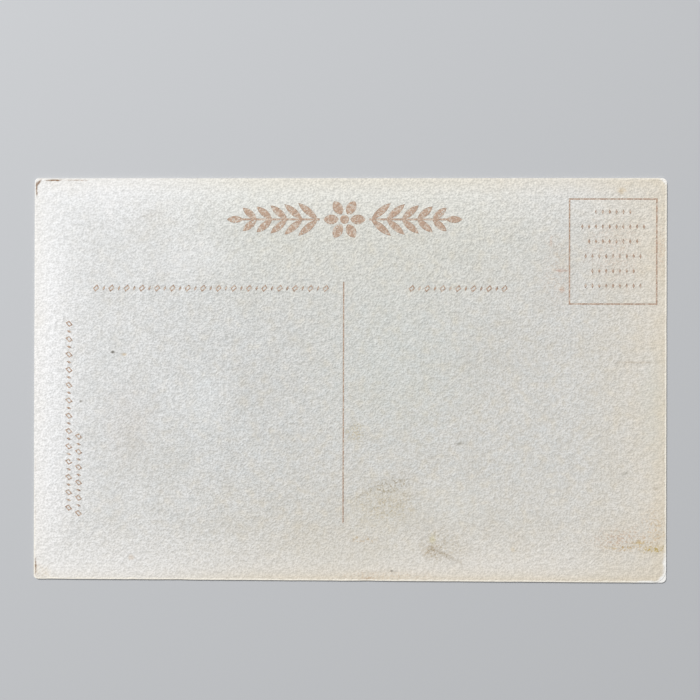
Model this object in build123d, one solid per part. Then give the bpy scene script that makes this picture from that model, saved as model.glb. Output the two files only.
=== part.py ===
from build123d import *
import os
from math import floor

# A divided-back picture postcard of pasteboard, lying picture side down, in millimetres.
# Origin: middle of the picture face. +X runs along the card to the stamp, +Y up the card, +Z out of
# the address side. Three sheets of paper are pasted together, and the ink sits flush in the two faces.

# Card blank
card_length = 139.7
card_height = 88.9
picture_ply = 0.10
middle_ply = 0.14
address_ply = 0.10
paste_film = 0.01
ink_depth = 0.012

# Worn corners: the liners have lost more than the core at the lower right
core_radius_top_left = 0.8
core_radius_top_right = 1.0
core_radius_bottom_left = 0.8
core_radius_bottom_right = 1.0
liner_radius_top_left = 1.0
liner_radius_top_right = 1.3
liner_radius_bottom_left = 1.0
liner_radius_bottom_right = 2.9

# Worn rim: a shallow bevel round both outer faces
rim_width = 0.30
rim_depth = 0.05

# Upright rule between message and address
divider_left_of_middle = 1.15
divider_top_gap = 22.9
divider_bottom_gap = 12.7
divider_line = 0.25

# Stamp box
stamp_length = 19.1
stamp_height = 23.1
stamp_right_gap = 2.2
stamp_top_gap = 4.6
stamp_line = 0.28

# Rows in the stamp box: evenly spaced between two gaps, each with its own gap to the sides
stamp_rows_top_gap = 2.8
stamp_rows_bottom_gap = 4.0
stamp_row_side_gaps = [5.1, 1.9, 4.0, 2.9, 4.2, 2.9]
stamp_row_pitch = 1.5

# Heading ornament: a rosette between two laurel sprigs
heading_length = 52.0
heading_middle_drop = 9.1
heading_right_of_divider = 0.15
rosette_diameter = 9.2
rosette_petals = 6
petal_width = 2.1
rosette_eye = 1.9
eye_gap = 0.35
sprig_gap = 0.9
sprig_stem = 0.42
leaf_pairs = 5
leaf_length_first = 5.6
leaf_length_last = 4.0
leaf_width = 1.5
leaf_angle = 40.0
tip_leaf_length = 3.6

# Bands of lozenges: an open one and a slim solid one by turns
lozenge_height = 1.6
lozenge_width = 1.35
lozenge_line = 0.2
lozenge_slant = 0.5
slim_height = 1.1
slim_width = 0.5
lozenge_pitch = 1.7
band_drop = 24.35
message_left_gap = 12.0
message_divider_gap = 2.2
address_divider_gap = 13.2
address_stamp_gap = 12.4
margin_left_gap = 7.75
margin_line_pitch = 2.2
margin_bottom_gap = 13.9
margin_top_gap = 30.4
margin_inner_length = 18.4

# Picture side: a view of hills and a lake inside a plain white border
picture_border = 4.0
picture_rule_gap = 0.7
picture_rule_line = 0.3
horizon_rise = 32.0
shore_rise = 12.0
sun_diameter = 9.0
sun_drop = 11.0
sun_right_of_middle = 33.0
glitter_count = 5
glitter_pitch = 3.2
glitter_width_first = 4.5
glitter_width_last = 11.0
glitter_height = 0.9
tree_count = 3
tree_height = 38.0
tree_width = 8.0
tree_spacing = 11.0
tree_edge_gap = 12.0
tree_step_down = 5.0
trunk_width = 1.2
trunk_height = 5.0

# Rounded hills as (middle from the picture's middle, base length, height above the horizon)
far_hills = [(-48.0, 62.0, 17.0), (2.0, 76.0, 24.0), (50.0, 54.0, 14.0)]
near_hills = [(-30.0, 84.0, 10.0), (44.0, 72.0, 8.0)]
shore_mound_length = 190.0
shore_mound_height = 5.0

# Worked out from the sizes above
half_length = card_length / 2
half_height = card_height / 2
lower_paste_z = picture_ply
middle_z = lower_paste_z + paste_film
upper_paste_z = middle_z + middle_ply
address_z = upper_paste_z + paste_film
card_top = address_z + address_ply
divider_x = -divider_left_of_middle
heading_x = divider_x + heading_right_of_divider
stamp_x = half_length - stamp_right_gap - stamp_length / 2
stamp_y = half_height - stamp_top_gap - stamp_height / 2
heading_y = half_height - heading_middle_drop
band_y = half_height - band_drop
picture_length = card_length - 2 * picture_border
picture_height = card_height - 2 * picture_border
picture_bottom = -picture_height / 2
horizon_y = picture_bottom + horizon_rise
shore_y = picture_bottom + shore_rise

core_radii = {
    (-1, 1): core_radius_top_left,
    (1, 1): core_radius_top_right,
    (-1, -1): core_radius_bottom_left,
    (1, -1): core_radius_bottom_right,
}
liner_radii = {
    (-1, 1): liner_radius_top_left,
    (1, 1): liner_radius_top_right,
    (-1, -1): liner_radius_bottom_left,
    (1, -1): liner_radius_bottom_right,
}


def worn_blank(radii):
    """The card's rectangle with each corner worn to its own radius."""
    blank = Rectangle(card_length, card_height)
    for (side, end), radius in radii.items():
        corner = blank.vertices().sort_by_distance((side * half_length, end * half_height))[0]
        blank = fillet(corner, radius)
    return blank


def sheet(outline, bottom, thickness):
    """A flat sheet of the outline, standing on the given height."""
    return Pos(0, 0, bottom) * extrude(outline, thickness)


def wear_rim(outer_face):
    """The liner that has this outer face, its edge bevelled wide and shallow."""
    return chamfer(outer_face.outer_wire().edges(), rim_width, rim_depth, reference=outer_face)


def address_ink(shapes):
    """Ink that fills its impression flush with the address face."""
    return [Pos(0, 0, card_top - ink_depth) * extrude(face, ink_depth) for face in shapes]


def picture_ink(shapes):
    """Ink that fills its impression flush with the picture face."""
    return [extrude(face, ink_depth) for face in shapes]


def line_frame(length, height, line):
    """A rectangle drawn with one line, measured to the middle of the line."""
    return Rectangle(length + line, height + line) - Rectangle(length - line, height - line)


def leaf(length, width):
    """A pointed leaf of two arcs, from the origin along +X."""
    upper = ThreePointArc((0, 0), (length / 2, width / 2), (length, 0))
    lower = ThreePointArc((length, 0), (length / 2, -width / 2), (0, 0))
    return make_face([upper, lower])


def rosette():
    """A round eye with a ring of petals, middle at the origin."""
    petal_start = rosette_eye / 2 + eye_gap
    petal = Pos(petal_start, 0) * leaf(rosette_diameter / 2 - petal_start, petal_width)
    petals = [Rot(0, 0, 360 * turn / rosette_petals) * petal for turn in range(rosette_petals)]
    return [Circle(rosette_eye / 2)] + list((Sketch() + petals).faces())


def sprig():
    """A laurel sprig along +X: a stem, pairs of leaves that shorten outwards, and a leaf at the tip."""
    start = rosette_diameter / 2 + sprig_gap
    stem_end = heading_length / 2 - tip_leaf_length
    pitch = (stem_end - start) / leaf_pairs
    shape = Pos((start + stem_end) / 2, 0) * Rectangle(stem_end - start, sprig_stem)
    shape += Pos(stem_end, 0) * leaf(tip_leaf_length, leaf_width)
    shape += Pos(stem_end, 0) * Circle(sprig_stem / 2)
    for pair in range(leaf_pairs):
        share = pair / max(leaf_pairs - 1, 1)
        length = leaf_length_first + share * (leaf_length_last - leaf_length_first)
        root = Pos(start + sprig_stem + pair * pitch, 0)
        for side in (1, -1):
            shape += root * Rot(0, 0, side * leaf_angle) * leaf(length, leaf_width)
    return shape


def heading():
    """The rosette over the divider, with a sprig to each side."""
    right = sprig()
    left = mirror(right, Plane.YZ)
    return [Pos(heading_x, heading_y) * shape for shape in rosette() + [right, left]]


def lozenge(width, height, slant):
    """A four-sided lozenge whose upper point leans to +X."""
    points = [(width / 2, 0), (slant / 2, height / 2), (-width / 2, 0), (-slant / 2, -height / 2)]
    return Polygon(*points, align=None)


def open_lozenge(slant):
    """A lozenge drawn with one line."""
    whole = lozenge(lozenge_width, lozenge_height, slant)
    return whole - offset(whole, -lozenge_line, kind=Kind.INTERSECTION)


def slim_lozenge(slant):
    """A narrow solid lozenge of the same lean."""
    return lozenge(slim_width, slim_height, slant * slim_height / lozenge_height)


def band(length, pitch, marks):
    """Marks by turns along +X that begin and end with the first kind, middle at the origin."""
    end_width = marks[0].bounding_box().size.X
    count = len(marks) * floor((length - end_width) / pitch / len(marks)) + 1
    first = -(count - 1) / 2 * pitch
    return [Pos(first + n * pitch, 0) * marks[n % len(marks)] for n in range(count)]


def slanted_band(length):
    """A band of open and slim lozenges by turns, all leaning."""
    return band(length, lozenge_pitch, [open_lozenge(lozenge_slant), slim_lozenge(lozenge_slant)])


def band_between(start, end, y):
    """A slanted band along the card from one place to another."""
    return [Pos((start + end) / 2, y) * mark for mark in slanted_band(end - start)]


def margin_band(line_gap, length):
    """A slanted band that climbs the left margin from its lower end."""
    middle = Pos(line_gap - half_length, margin_bottom_gap - half_height + length / 2)
    return [middle * Rot(0, 0, 90) * mark for mark in slanted_band(length)]


def stamp_rows():
    """Upright bands of slim lozenges down the stamp box."""
    top = stamp_y + stamp_height / 2 - stamp_rows_top_gap
    bottom = stamp_y - stamp_height / 2 + stamp_rows_bottom_gap
    row_drop = (top - bottom) / max(len(stamp_row_side_gaps) - 1, 1)
    rows = []
    for number, side_gap in enumerate(stamp_row_side_gaps):
        place = Pos(stamp_x, top - number * row_drop)
        marks = band(stamp_length - 2 * side_gap, stamp_row_pitch, [slim_lozenge(0)])
        rows += [place * mark for mark in marks]
    return rows


def hill(middle, length, height, base):
    """A low round hill: a circle's cap on a level base."""
    start = (middle - length / 2, base)
    end = (middle + length / 2, base)
    return make_face([ThreePointArc(start, (middle, base + height), end), Line(end, start)])


def ground(top):
    """The part of the picture below a level line."""
    rise = top - picture_bottom
    return Pos(0, picture_bottom + rise / 2) * Rectangle(picture_length, rise)


def trees():
    """A row of poplars on the shore, each shorter than the last."""
    row = []
    for number in range(tree_count):
        x = -picture_length / 2 + tree_edge_gap + number * tree_spacing
        height = tree_height - number * tree_step_down
        crown = Pos(x, shore_y + trunk_height) * Rot(0, 0, 90) * leaf(height, tree_width)
        trunk = Pos(x, shore_y + trunk_height / 2) * Rectangle(trunk_width, trunk_height + tree_width / 2)
        row.append((crown + trunk) & Rectangle(picture_length, picture_height))
    return row


def glitter(top):
    """Flecks of the sun on the water, widening downwards from a level line."""
    flecks = []
    for number in range(glitter_count):
        share = number / max(glitter_count - 1, 1)
        width = glitter_width_first + share * (glitter_width_last - glitter_width_first)
        y = top - (number + 0.5) * glitter_pitch
        flecks.append(Pos(sun_right_of_middle, y) * lozenge(width, glitter_height, 0))
    return flecks


def picture_tints():
    """The picture's flat tints, cut from one panel so that each ends where the next begins."""
    panel = Rectangle(picture_length, picture_height)
    tree_row = trees()
    shore_mound = hill(0, shore_mound_length, shore_mound_height, shore_y)
    shore_land = ground(shore_y) + (shore_mound & panel)
    water_land = ground(horizon_y)
    near_land = water_land
    for middle, length, height in near_hills:
        near_land += hill(middle, length, height, horizon_y) & panel
    far_land = near_land
    for middle, length, height in far_hills:
        far_land += hill(middle, length, height, horizon_y) & panel
    sun = Pos(sun_right_of_middle, picture_height / 2 - sun_drop) * Circle(sun_diameter / 2) - far_land
    flecks = (Sketch() + glitter(horizon_y)) & (water_land - shore_land)
    tints = {
        "sky_tint": panel - far_land - sun,
        "sun_tint": sun + flecks,
        "far_hills_tint": far_land - near_land,
        "near_hills_tint": near_land - water_land,
        "lake_tint": water_land - shore_land - flecks,
        "shore_tint": shore_land,
    }
    for name in tints:
        for tree in tree_row:
            tints[name] -= tree
    tints["tree_tint"] = Sketch() + tree_row
    return {name: list(tint.faces()) for name, tint in tints.items()}


address_prints = {
    "heading_ornament": heading(),
    "divider_rule": [
        Pos(divider_x, (divider_bottom_gap - divider_top_gap) / 2)
        * Rectangle(divider_line, card_height - divider_top_gap - divider_bottom_gap)
    ],
    "stamp_frame": [Pos(stamp_x, stamp_y) * line_frame(stamp_length, stamp_height, stamp_line)],
    "stamp_rows": stamp_rows(),
    "message_band": band_between(-half_length + message_left_gap, divider_x - message_divider_gap, band_y),
    "address_band": band_between(
        divider_x + address_divider_gap, stamp_x - stamp_length / 2 - address_stamp_gap, band_y
    ),
    "margin_bands": margin_band(margin_left_gap, card_height - margin_bottom_gap - margin_top_gap)
    + margin_band(margin_left_gap + margin_line_pitch, margin_inner_length),
}
rule_offset = 2 * picture_rule_gap + picture_rule_line
picture_rule = line_frame(picture_length + rule_offset, picture_height + rule_offset, picture_rule_line)

nodes = {name: address_ink(shapes) for name, shapes in address_prints.items()}
address_ink_solids = [solid for solids in nodes.values() for solid in solids]
nodes["picture_rule"] = picture_ink([picture_rule])
for name, faces in picture_tints().items():
    nodes[name] = picture_ink(faces)

liner = worn_blank(liner_radii)
core = worn_blank(core_radii)

address_sheet = sheet(liner, address_z, address_ply)
address_sheet = wear_rim(address_sheet.faces().sort_by(Axis.Z)[-1])
nodes["address_sheet"] = [address_sheet - address_ink_solids]

picture_sheet = sheet(liner, 0, picture_ply)
picture_sheet = wear_rim(picture_sheet.faces().sort_by(Axis.Z)[0])
picture_recess = extrude(Rectangle(picture_length, picture_height), ink_depth)
nodes["picture_sheet"] = [picture_sheet - picture_recess - nodes["picture_rule"]]

nodes["lower_paste"] = [sheet(liner, lower_paste_z, paste_film)]
nodes["middle_sheet"] = [sheet(core, middle_z, middle_ply)]
nodes["upper_paste"] = [sheet(liner, upper_paste_z, paste_film)]

os.makedirs("parts", exist_ok=True)
for name, pieces in nodes.items():
    solids = [solid for piece in pieces for solid in piece.solids()]
    export_step(solids[0] if len(solids) == 1 else Compound(children=solids), f"parts/{name}.step")
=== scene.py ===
import math

import bmesh
import bpy
import numpy as np
from bpy.props import FloatProperty, FloatVectorProperty, IntProperty, PointerProperty
from mathutils import Euler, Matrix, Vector


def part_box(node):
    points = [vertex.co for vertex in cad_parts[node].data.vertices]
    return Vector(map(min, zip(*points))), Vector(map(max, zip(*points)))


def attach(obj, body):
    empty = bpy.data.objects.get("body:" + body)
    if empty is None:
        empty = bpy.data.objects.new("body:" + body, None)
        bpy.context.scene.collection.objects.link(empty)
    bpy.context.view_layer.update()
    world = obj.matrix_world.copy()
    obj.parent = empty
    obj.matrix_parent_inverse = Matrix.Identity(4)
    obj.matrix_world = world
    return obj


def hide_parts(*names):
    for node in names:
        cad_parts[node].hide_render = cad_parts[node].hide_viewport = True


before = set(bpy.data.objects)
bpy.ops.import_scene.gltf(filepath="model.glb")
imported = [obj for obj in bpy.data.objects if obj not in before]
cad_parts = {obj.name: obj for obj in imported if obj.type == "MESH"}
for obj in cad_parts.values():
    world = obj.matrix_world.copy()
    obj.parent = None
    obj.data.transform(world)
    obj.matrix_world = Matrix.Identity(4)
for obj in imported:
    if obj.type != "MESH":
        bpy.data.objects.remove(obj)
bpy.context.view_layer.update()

bl_info = {
    "name": "Divided-back postcard",
    "version": (1, 0, 0),
    "blender": (4, 5, 0),
    "location": "View3D > Sidebar > Postcard",
    "description": "Dresses a postcard's solids in felt-finished paper, brown ink and a tinted picture",
    "category": "Object",
}

MM = 0.001
FACTOR, UNDER, OVER, MIXED = 0, 6, 7, 2  # sockets of a Mix node that mixes colours
BODY = "root"
PRINTS = (
    "heading_ornament",
    "divider_rule",
    "stamp_frame",
    "stamp_rows",
    "message_band",
    "address_band",
    "margin_bands",
)
sheet_low, sheet_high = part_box("address_sheet")


def linear(code):
    """An sRGB hex colour as linear red, green, blue and alpha."""
    parts = [int(code[place : place + 2], 16) / 255 for place in (0, 2, 4)]
    return tuple(c / 12.92 if c <= 0.04045 else ((c + 0.055) / 1.055) ** 2.4 for c in parts) + (1.0,)


def length(name, description, default):
    """A property that holds a length."""
    return FloatProperty(name=name, description=description, default=default, unit="LENGTH", precision=6)


def colour(name, description, code):
    """A property that holds a colour, given in hex."""
    return FloatVectorProperty(
        name=name, description=description, default=linear(code), size=4, min=0, max=1, subtype="COLOR"
    )


def level(name, description, default):
    """A property that holds a share of 1."""
    return FloatProperty(name=name, description=description, default=default, min=0, max=4, subtype="FACTOR")


def angle(name, description, degrees):
    """A property that holds an angle."""
    return FloatProperty(name=name, description=description, default=math.radians(degrees), subtype="ANGLE")


class PostcardSheet(bpy.types.PropertyGroup):
    """Shape of the address sheet: its tooth, its worn rim and its corners."""

    grid_step: length("Grid step", "Spacing of the mesh over the face", 0.38 * MM)
    border: length("Border", "Width of the strip round the face that follows the worn outline", 1.95 * MM)
    tooth_height: length("Tooth height", "Spread of the felt's marks about the face", 0.02 * MM)
    tooth_finest: length("Finest mark", "Shortest distance between the felt's ridges", 0.85 * MM)
    tooth_widest: length("Widest mark", "Longest distance between the felt's ridges", 1.7 * MM)
    wool: length("Wool", "Size of the finest grain, which the mesh leaves to the finish", 0.44 * MM)
    wool_height: length("Wool height", "Height of the finest grain", 0.175 * MM)
    felt_seed: IntProperty(name="Felt seed", description="Chooses another piece of the felt", default=7)
    rim_width: length("Rim width", "How far in from the edge the face is rubbed round", 0.45 * MM)
    rim_depth: length("Rim depth", "How much lower the face is at its edge", 0.012 * MM)
    edge_wear: length("Edge wear", "Usual depth of the rubbed places along the edge", 0.018 * MM)
    lower_left: length("Lower left corner", "Radius that wear has left there", 1.0 * MM)
    lower_right: length("Lower right corner", "Radius that wear has left there", 2.9 * MM)
    upper_right: length("Upper right corner", "Radius that wear has left there", 1.3 * MM)
    upper_left: length("Upper left corner", "Radius that wear has left there", 1.0 * MM)


class PostcardPaper(bpy.types.PropertyGroup):
    """Colours of the three papers and the paste."""

    face: colour("Face", "Felt-finished paper", "E2E3E2")
    face_shade: colour("Face, shaded", "The same paper in its thinner, greyer clouds", "D4D5D3")
    # Painted light: the face made lighter where it is lit brighter, by its edges and at both ends
    face_painted_light: colour("Face, clean", "The same paper where fewer hands have touched it", "FAFAFB")
    toned: colour("Toned", "The paper where light and air have aged it", "E5D4B4")
    straw: colour("Straw", "The paper where it has only yellowed", "F0F0D4")
    warm_fibre: colour("Warm fibres", "Tufts of yellower fibre in the pulp", "E4D9C2")
    cool_fibre: colour("Cool fibres", "Tufts of bluer fibre in the pulp", "CFD8DE")
    # White fibres of the worn rim, also used as a painted highlight along the right and bottom of the rim
    worn_white_and_highlight: colour("Rubbed", "White fibres where the rim is worn through", "F9F3E6")
    # Dirt and painted shade: the darker colours laid in the hollows of the tooth, greyer and browner
    hollow_dirt_and_shade: colour("Grime", "Handling dirt that lies in the hollows", "A4A4A0")
    hollow_dirt_and_shade_brown: colour("Grime, brown", "The same dirt towards the toned end", "A89C82")
    rim_dirt: colour("Rim dirt", "Brown lines of dirt beside the rim", "866749")
    pulp: colour("Pulp", "The wood-pulp sheet in the middle", "FDFCF9")
    pulp_fleck: colour("Pulp fleck", "Bark and straw in the pulp", "DFD5C4")
    paste: colour("Paste", "Dried starch paste", "C9B48C")
    coated: colour("Coated", "Clay-coated paper of the picture side", "E2DACA")
    coated_toned: colour("Coated, toned", "The coated paper where it has browned", "CDBD9C")


class PostcardInk(bpy.types.PropertyGroup):
    """The brown ink of the address side."""

    lift: length("Lift", "How far the ink stands on the paper", 0.007 * MM)
    spread: length("Spread", "How far ink was squeezed out round each shape", 0.03 * MM)
    solid: colour("Solid", "Ink where the paper took it fully", "B89D89")
    rim: colour("Rim", "Ink squeezed to the edge of a shape", "6E594E")
    missed: colour("Missed", "Hollows that the ink only grazed", "D0C3B5")


class PostcardPicture(bpy.types.PropertyGroup):
    """The tints of the picture side."""

    grain: length("Grain", "Spacing of the printing grain", 0.45 * MM)
    rule: colour("Rule", "Line round the picture", "7C6F63")
    sky: colour("Sky", "Sky at the top", "A9BFC6")
    sky_low: colour("Low sky", "Sky at the hills", "E3D6BC")
    sun: colour("Sun", "Low sun", "E8C48A")
    far_hills: colour("Far hills", "Hazy hills", "93A2A8")
    near_hills: colour("Near hills", "Wooded hills", "75856B")
    lake: colour("Lake", "Water", "8FA9AE")
    shore: colour("Shore", "Meadow in front", "A79B62")
    trees: colour("Trees", "Poplars", "4E5A3D")


class PostcardStage(bpy.types.PropertyGroup):
    """Floor, light and camera."""

    floor: colour("Floor", "Plain pale floor", "BFC1C4")
    floor_size: length("Floor size", "Side of the floor", 6.0)
    key_level: level("Key level", "Share of a written colour that the key gives at the card's middle", 0.68)
    key_distance: length("Key distance", "From the card's middle to the key", 1.2)
    key_size: length("Key size", "Side of the key's soft panel", 0.36)
    key_azimuth: angle("Key azimuth", "Where the key stands, from +X towards +Y", 128)
    key_height: angle("Key height", "How high the key stands over the card", 43)
    fill_level: level("Fill level", "Share of a written colour that the sky gives", 0.34)
    lens: FloatProperty(
        name="Lens", description="Focal length on a 36 mm sensor, in millimetres", default=50, unit="CAMERA"
    )
    camera_x: length("Camera X", "Place along the card", 4.0 * MM)
    camera_y: length("Camera Y", "Place up the card", 6.13 * MM)
    camera_z: length("Camera Z", "Height over the card", 215.1 * MM)
    tilt_x: angle("Tilt X", "Turn about the card's length", 0.1)
    tilt_y: angle("Tilt Y", "Turn about the card's height", 0.99)
    roll: angle("Roll", "Turn about the view", 0.15)


def node(tree, kind, inputs=None, out=0, **settings):
    """Adds a node with its settings, sets or links its inputs, and returns one output."""
    made = tree.nodes.new(kind)
    for name, value in settings.items():
        setattr(made, name, value)
    for key, value in (inputs or {}).items():
        if isinstance(value, bpy.types.NodeSocket):
            tree.links.new(value, made.inputs[key])
        else:
            made.inputs[key].default_value = value
    return made.outputs[out] if made.outputs else None


def new_material(name):
    """An empty material, its node tree and the place on the card that its patterns follow."""
    material = bpy.data.materials.new(name)
    material.use_nodes = True
    material.node_tree.nodes.clear()
    return material, material.node_tree, node(material.node_tree, "ShaderNodeTexCoord", out="Object")


def finished(material, finish):
    """Gives a material its surface, from its look and finish at each place."""
    shader = node(material.node_tree, "ShaderNodeBsdfPrincipled", finish)
    node(material.node_tree, "ShaderNodeOutputMaterial", {"Surface": shader})
    return material


def per(size):
    """Texture scale at which a pattern repeats about once in a length."""
    return 1 / size


class FeltFace:
    """The address side's face: an even grid of heights pressed by the papermaker's felt."""

    LIES = (12, 57, 102, 147)  # degrees from +X that the felt's hairs lie at, patch by patch
    STRETCH = 1.5  # a hair's mark is this much longer than wide
    PATCH = 7 * MM
    SPARE = 8  # grid steps beyond the grid on each side, so that the worn border has heights too
    SHORT = 1.001  # places are kept this many grid steps short of the last height
    STILL = 1e-9  # added to each wave number, so that none is zero

    def __init__(self, sheet):
        self.half = (sheet_high - sheet_low).xy / 2 - Vector((sheet.border, sheet.border))
        self.columns = round(2 * self.half.x / sheet.grid_step)
        self.rows = round(2 * self.half.y / sheet.grid_step)
        self.step_x = 2 * self.half.x / self.columns
        self.step_y = 2 * self.half.y / self.rows
        self.tooth_height = sheet.tooth_height
        self.marks = self.felt_marks(sheet)

    def felt_marks(self, sheet):
        """Short ridges whose lie changes in patches, with a mean of 0 and a spread of 1."""
        random = np.random.default_rng(sheet.felt_seed)
        shape = (self.rows + 1 + 2 * self.SPARE, self.columns + 1 + 2 * self.SPARE)
        up = np.fft.fftfreq(shape[0], self.step_y)[:, None]
        along = np.fft.rfftfreq(shape[1], self.step_x)[None, :]

        def passed(weight):
            made = np.fft.irfft2(np.fft.rfft2(random.standard_normal(shape)) * weight, shape)
            return (made - made.mean()) / made.std()

        total = np.zeros(shape)
        shares = np.zeros(shape)
        for lie in np.radians(self.LIES):
            with_hair = along * math.cos(lie) + up * math.sin(lie)
            across_hair = up * math.cos(lie) - along * math.sin(lie)
            wave = np.hypot(with_hair * self.STRETCH, across_hair) + self.STILL
            band = np.exp(-((wave * sheet.tooth_finest) ** 4) / 2)
            band *= 1 - np.exp(-((wave * sheet.tooth_widest) ** 4))
            share = np.exp(passed(np.exp(-((np.hypot(along, up) * self.PATCH) ** 2))))
            total += share * passed(band / wave)
            shares += share
        marks = total / shares
        return (marks - marks.mean()) / marks.std()

    def at(self, x, y):
        """Height of the felt's marks at places on the card, in spreads."""
        last_row, last_column = (count - self.SHORT for count in self.marks.shape)
        column = np.clip((x + self.half.x) / self.step_x + self.SPARE, 0, last_column)
        row = np.clip((y + self.half.y) / self.step_y + self.SPARE, 0, last_row)
        i, j = column.astype(int), row.astype(int)
        u, v = column - i, row - j
        lower = self.marks[j, i] * (1 - u) + self.marks[j, i + 1] * u
        upper = self.marks[j + 1, i] * (1 - u) + self.marks[j + 1, i + 1] * u
        return lower * (1 - v) + upper * v

    def lines(self):
        """The grid's upright and level lines."""
        return (
            np.linspace(-self.half.x, self.half.x, self.columns + 1),
            np.linspace(-self.half.y, self.half.y, self.rows + 1),
        )


TOOTH_RANGE = 5  # spreads of the felt's marks from the deepest hollow to the highest ridge
SHARP_EDGE = math.radians(50)


def tooth_value(marks):
    """The felt's marks as a number from 0, a hollow, to 1, a ridge."""
    return np.clip(0.5 + marks / TOOTH_RANGE, 0, 1)


def give_values(mesh, name, values):
    """Stores one number for each point of a mesh, for its material to read."""
    mesh.attributes.new(name, "FLOAT", "POINT").data.foreach_set("value", np.asarray(values, np.float32))


def place_piece(name, mesh, slot, *nodes):
    """Makes the piece that stands for some solids."""
    piece = bpy.data.objects.new(name, mesh)
    bpy.context.scene.collection.objects.link(piece)
    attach(piece, BODY)
    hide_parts(*nodes)


# Worn places along the outline, in mm: where they are on the card, how wide and how deep
NICKS = {
    "left edge, thumbed": ((-70, -25), 1.6, 0.07),
    "left edge, low": ((-70, -42), 1.2, 0.08),
    "bottom edge, right of middle": ((4, -44.5), 1.8, 0.07),
    "bottom edge, left": ((-38, -44.5), 2.6, 0.05),
    "right edge, under the stamp box": ((70, 12), 2.2, 0.06),
    "top edge, right": ((31, 44.5), 1.5, 0.05),
}


CORNER_POINTS = 9  # for each eighth of a turn
# The rubbed edge between those places: its finest and widest waves, its mean depth and its spread
EDGE_FINEST = 1.2 * MM
EDGE_WIDEST = 6 * MM
EDGE_MEAN = 0.8
EDGE_SPREAD = 0.6


def worn_outline(sheet, face):
    """Points round the sheet, anticlockwise from the lower left, one for each border point of the grid."""
    half = (sheet_high - sheet_low).xy / 2
    signs = ((-1, -1), (1, -1), (1, 1), (-1, 1))
    radii = (sheet.lower_left, sheet.lower_right, sheet.upper_right, sheet.upper_left)
    quarter = math.pi / 4
    points = []
    for side, steps in enumerate((face.columns, face.rows, face.columns, face.rows)):
        bisector = math.pi / 2 * side - 3 * quarter
        path = []
        for corner, start in ((side, bisector), ((side + 1) % 4, bisector + quarter)):
            turn = np.linspace(start, start + quarter, CORNER_POINTS)
            centre = [sign * (reach - radii[corner]) for sign, reach in zip(signs[corner], half)]
            path.append(np.column_stack([np.cos(turn), np.sin(turn)]) * radii[corner] + centre)
        path = np.vstack(path)
        run = np.concatenate([[0], np.cumsum(np.hypot(*np.diff(path, axis=0).T))])
        stops = np.linspace(0, run[-1], steps, endpoint=False)
        points.append(np.column_stack([np.interp(stops, run, path[:, axis]) for axis in (0, 1)]))
    points = np.vstack(points)
    ahead = np.roll(points, -1, axis=0) - np.roll(points, 1, axis=0)
    inward = np.column_stack([-ahead[:, 1], ahead[:, 0]]) / np.hypot(*ahead.T)[:, None]
    return points + inward * rubbed_depth(sheet, points)[:, None]


def rubbed_depth(sheet, points):
    """How far the edge is rubbed back at each point of the outline."""
    random = np.random.default_rng(sheet.felt_seed + 1)
    wave = np.fft.rfftfreq(len(points), sheet.grid_step)
    weight = np.exp(-((wave * EDGE_FINEST) ** 2)) / (1 + wave * EDGE_WIDEST)
    rough = np.fft.irfft(np.fft.rfft(random.standard_normal(len(points))) * weight, len(points))
    depth = sheet.edge_wear * np.clip(EDGE_MEAN + rough / rough.std() * EDGE_SPREAD, 0, None)
    for place, width, deep in NICKS.values():
        away = np.hypot(*(points - np.array(place) * MM).T)
        depth += deep * MM * np.exp(-((away / (width * MM)) ** 2))
    return depth


def inset_from_edge(sheet, x, y):
    """How far places lie inside the sheet's unworn outline."""
    half = (sheet_high - sheet_low).xy / 2
    right, upper = x > 0, y > 0
    lower_radius = np.where(right, sheet.lower_right, sheet.lower_left)
    radius = np.where(upper, np.where(right, sheet.upper_right, sheet.upper_left), lower_radius)
    over_x = np.abs(x) - half.x + radius
    over_y = np.abs(y) - half.y + radius
    round_part = np.hypot(np.maximum(over_x, 0), np.maximum(over_y, 0))
    return radius - round_part - np.minimum(np.maximum(over_x, over_y), 0)


# Rings of points, as shares of the way from the grid's border to the edge, and on down the wall
RING_SHARES = (0.14, 0.28, 0.42, 0.55, 0.67, 0.77, 0.85, 0.92, 0.97, 1.0)
WALL_SHARES = (0.45, 1.0)
# The underside's place over the face on the flat map: its share of the room there, and the gaps beside it
UNDERSIDE_SHARE = 0.9
MAP_GAPS = (0.01, 0.02)


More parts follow.
